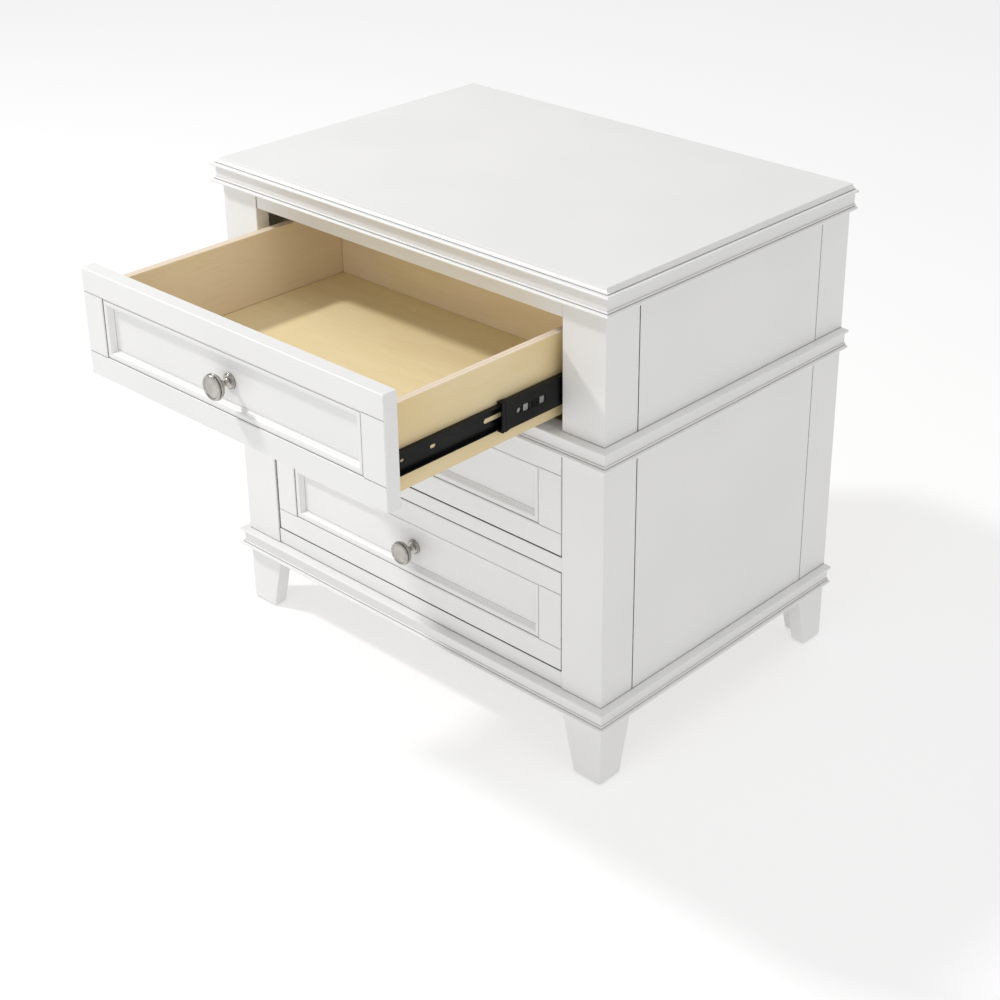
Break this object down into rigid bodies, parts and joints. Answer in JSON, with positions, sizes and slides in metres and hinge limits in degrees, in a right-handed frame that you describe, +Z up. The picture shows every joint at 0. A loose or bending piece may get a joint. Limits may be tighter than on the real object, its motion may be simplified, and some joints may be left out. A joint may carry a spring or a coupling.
{
  "type": "nightstand with drawers",
  "caption": "White painted bedside cabinet on tapered feet, with inset framed drawers that run on telescopic ball-bearing slides; the top drawer stands drawn out.",
  "frame": {"origin": "on the floor, at the centre of the bounding box in plan while the top drawer is drawn out 283 mm as stored; the cabinet's own centre lies 151 mm behind it (+Y) and its front post faces at y = -92 mm", "axes": "+Z up, +X to the right of someone facing the drawers, -Y out of the front, the way the drawers pull"},
  "size_m": [0.7124, 0.788, 0.69],
  "materials": {
    "white_paint": "satin white paint on wood",
    "birch_ply": "clear lacquered birch",
    "black_slide_steel": "black electro-coated steel",
    "zinc_screw_steel": "zinc plated",
    "brushed_nickel": "brushed satin nickel",
    "glide_plastic": "matt black plastic"
  },
  "bodies": {
    "cabinet": {"top_panel": "white_paint", "cornice_front": "white_paint", "cornice_sides": "white_paint", "waist_moulding_front": "white_paint", "waist_moulding_sides": "white_paint", "base_moulding_front": "white_paint", "base_moulding_sides": "white_paint", "post_front_left": "white_paint", "post_front_right": "white_paint", "post_back_left": "white_paint", "post_back_right": "white_paint", "side_panel_left": "white_paint", "side_panel_right": "white_paint", "back_panel": "birch_ply", "bottom_panel": "birch_ply", "top_rail": "white_paint", "waist_rail": "white_paint", "middle_rail": "white_paint", "bottom_rail": "white_paint", "back_rails": "white_paint", "slide_battens": "birch_ply", "corner_blocks": "birch_ply", "floor_glides": "glide_plastic", "cabinet_slides": "black_slide_steel", "slide_screws": "zinc_screw_steel"},
    "top_drawer": {"top_front_frame": "white_paint", "top_front_panel": "white_paint", "top_panel_bead": "white_paint", "top_box_front": "birch_ply", "top_box_sides": "birch_ply", "top_box_back": "birch_ply", "top_box_bottom": "birch_ply", "top_knob": "brushed_nickel", "top_knob_screw": "zinc_screw_steel", "top_drawer_slides": "black_slide_steel"},
    "top_slide_middles": {"top_middle_slides": "black_slide_steel"},
    "middle_drawer": {"middle_front_frame": "white_paint", "middle_front_panel": "white_paint", "middle_panel_bead": "white_paint", "middle_box_front": "birch_ply", "middle_box_sides": "birch_ply", "middle_box_back": "birch_ply", "middle_box_bottom": "birch_ply", "middle_knob": "brushed_nickel", "middle_knob_screw": "zinc_screw_steel", "middle_drawer_slides": "black_slide_steel"},
    "middle_slide_middles": {"middle_middle_slides": "black_slide_steel"},
    "bottom_drawer": {"bottom_front_frame": "white_paint", "bottom_front_panel": "white_paint", "bottom_panel_bead": "white_paint", "bottom_box_front": "birch_ply", "bottom_box_sides": "birch_ply", "bottom_box_back": "birch_ply", "bottom_box_bottom": "birch_ply", "bottom_knob": "brushed_nickel", "bottom_knob_screw": "zinc_screw_steel", "bottom_drawer_slides": "black_slide_steel"},
    "bottom_slide_middles": {"bottom_middle_slides": "black_slide_steel"}
  },
  "joints": [
    {"name": "top_drawer_pull", "type": "slide", "parent": "cabinet", "child": "top_drawer", "axis": [0, -1, 0], "range_m": [-0.283, 0.117]},
    {"name": "top_slide_extend", "type": "slide", "parent": "cabinet", "child": "top_slide_middles", "axis": [0, -1, 0], "range_m": [-0.1415, 0.0585]},
    {"name": "middle_drawer_pull", "type": "slide", "parent": "cabinet", "child": "middle_drawer", "axis": [0, -1, 0], "range_m": [0, 0.4]},
    {"name": "middle_slide_extend", "type": "slide", "parent": "cabinet", "child": "middle_slide_middles", "axis": [0, -1, 0], "range_m": [0, 0.2]},
    {"name": "bottom_drawer_pull", "type": "slide", "parent": "cabinet", "child": "bottom_drawer", "axis": [0, -1, 0], "range_m": [0, 0.4]},
    {"name": "bottom_slide_extend", "type": "slide", "parent": "cabinet", "child": "bottom_slide_middles", "axis": [0, -1, 0], "range_m": [0, 0.2]}
  ],
  "couplings": [
    {"joint": "top_slide_extend", "follows": "top_drawer_pull", "ratio": 0.5},
    {"joint": "middle_slide_extend", "follows": "middle_drawer_pull", "ratio": 0.5},
    {"joint": "bottom_slide_extend", "follows": "bottom_drawer_pull", "ratio": 0.5}
  ]
}
